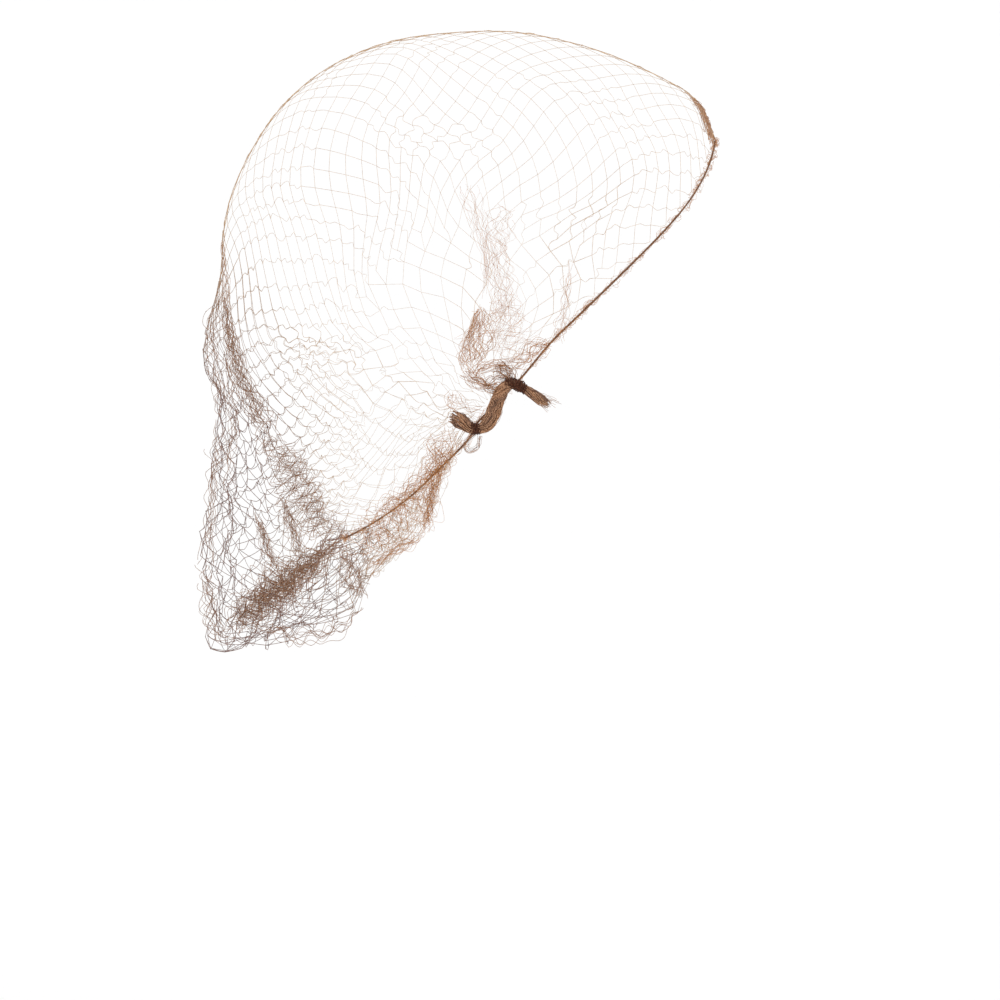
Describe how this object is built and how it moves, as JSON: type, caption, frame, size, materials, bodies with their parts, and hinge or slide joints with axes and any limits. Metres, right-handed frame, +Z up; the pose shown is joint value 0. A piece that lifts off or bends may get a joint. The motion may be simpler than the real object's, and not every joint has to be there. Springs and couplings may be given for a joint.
{
  "type": "hairnet",
  "caption": "Coarse knotted hairnet with an elastic edge, gathered and tied above the ears, with a bag of slack net that hangs behind the nape.",
  "frame": {"origin": "inside of the net at the top of the crown, where it rests when worn", "axes": "+X to the forehead, +Z up, -Y to the wearer's right, the side whose gather is modelled in full"},
  "size_m": [0.1858, 0.1583, 0.2232],
  "materials": {
    "net_thread": "fine twisted nylon thread, knotted, light brown, slightly glossy",
    "elastic_cord": "thin rubber cord wound with brown thread, matt",
    "tie_thread": "dark brown thread wound tight, matt"
  },
  "bodies": {
    "root": {"net": "net_thread", "edge_elastic": "elastic_cord", "gathered_end": "net_thread", "upper_tie": "tie_thread", "lower_tie": "tie_thread", "far_knot": "net_thread"}
  },
  "joints": []
}
